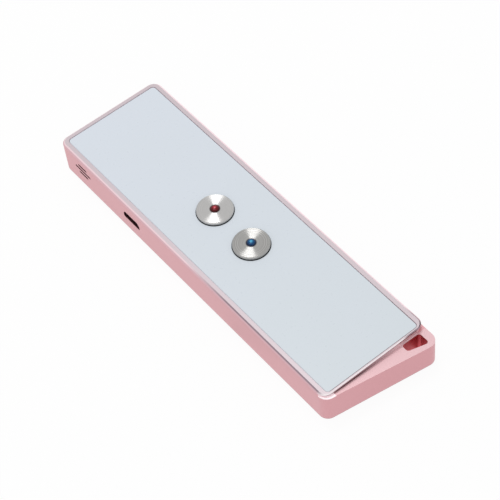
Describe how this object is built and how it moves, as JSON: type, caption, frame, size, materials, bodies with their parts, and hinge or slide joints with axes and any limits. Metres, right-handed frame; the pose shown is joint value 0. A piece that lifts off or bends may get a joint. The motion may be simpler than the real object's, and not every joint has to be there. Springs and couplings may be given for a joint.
{
  "type": "handheld translator",
  "caption": "Slim pocket translator with an aluminium body, a pale glossy front panel, round sprung keys, side sound slits, a charging port and a slanted chin with a lanyard slot.",
  "frame": {"origin": "on the back face, under the middle of the bounding box", "axes": "+X to the right seen from the front with the chin down, +Y along the body towards the top end, +Z out of the panel"},
  "size_m": [0.0398, 0.14, 0.014],
  "materials": {
    "rose_aluminium": "satin anodised",
    "pale_panel": "glossy",
    "black_tape": "matte",
    "black_plastic": "matte",
    "dark_plastic": "matte",
    "spun_metal": "spun and polished",
    "red_jewel": "clear gloss",
    "blue_jewel": "clear gloss",
    "red_plastic": "matte",
    "blue_plastic": "matte",
    "green_board": "solder mask",
    "blue_board": "solder mask",
    "black_chip": "moulded",
    "ferrite": "sintered",
    "tinned_steel": "tinned",
    "tan_parts": "fired",
    "copper_strip": "bare",
    "gold_contact": "gold plated",
    "battery_pouch": "laminated foil",
    "white_tape": "matte",
    "grey_foam": "cellular",
    "red_lead": "insulation",
    "black_lead": "insulation",
    "blue_lead": "insulation",
    "cream_plastic": "moulded",
    "cone_film": "satin film",
    "magnet_steel": "plated",
    "black_foam": "cellular",
    "dark_mesh": "woven",
    "black_rubber": "matte",
    "screw_steel": "zinc plated"
  },
  "bodies": {
    "housing": {"body_shell": "rose_aluminium", "front_panel": "pale_panel", "panel_adhesive": "black_tape", "inner_frame": "black_plastic", "red_switch_housing": "black_plastic", "blue_switch_housing": "black_plastic", "main_board": "green_board", "processor_chip": "black_chip", "memory_chip": "black_chip", "audio_chip": "black_chip", "power_chip": "black_chip", "power_coil": "ferrite", "clock_crystal": "tinned_steel", "small_parts": "tan_parts", "radio_board": "blue_board", "radio_shield": "tinned_steel", "antenna_strip": "copper_strip", "antenna_contact": "gold_contact", "battery_cell": "battery_pouch", "battery_board": "green_board", "battery_tape": "white_tape", "battery_foam": "grey_foam", "battery_lead_red": "red_lead", "battery_lead_black": "black_lead", "battery_plug": "cream_plastic", "battery_socket": "cream_plastic", "speaker_basket": "black_plastic", "speaker_cone": "cone_film", "speaker_magnet": "magnet_steel", "speaker_chamber": "black_plastic", "speaker_gasket": "black_foam", "slit_mesh": "dark_mesh", "speaker_leads": "red_lead", "microphone": "tinned_steel", "microphone_boot": "black_rubber", "microphone_leads": "blue_lead", "port_shell": "tinned_steel", "port_tongue": "black_plastic", "port_contacts": "gold_contact", "frame_screws": "screw_steel", "board_screws": "screw_steel"},
    "red_key": {"red_key_cap": "spun_metal", "red_key_base": "dark_plastic", "red_jewel": "red_jewel"},
    "red_plunger": {"red_switch_plunger": "red_plastic"},
    "blue_key": {"blue_key_cap": "spun_metal", "blue_key_base": "dark_plastic", "blue_jewel": "blue_jewel"},
    "blue_plunger": {"blue_switch_plunger": "blue_plastic"}
  },
  "joints": [
    {"name": "red_key_press", "type": "slide", "parent": "housing", "child": "red_key", "axis": [0, 0, -1], "range_m": [0, 0.0003], "stiffness_N_per_m": 1500},
    {"name": "red_plunger_press", "type": "slide", "parent": "housing", "child": "red_plunger", "axis": [0, 0, -1], "range_m": [0, 0.0003], "stiffness_N_per_m": 100},
    {"name": "blue_key_press", "type": "slide", "parent": "housing", "child": "blue_key", "axis": [0, 0, -1], "range_m": [0, 0.0003], "stiffness_N_per_m": 1500},
    {"name": "blue_plunger_press", "type": "slide", "parent": "housing", "child": "blue_plunger", "axis": [0, 0, -1], "range_m": [0, 0.0003], "stiffness_N_per_m": 100}
  ],
  "couplings": [
    {"joint": "red_plunger_press", "follows": "red_key_press", "ratio": 1},
    {"joint": "blue_plunger_press", "follows": "blue_key_press", "ratio": 1}
  ]
}
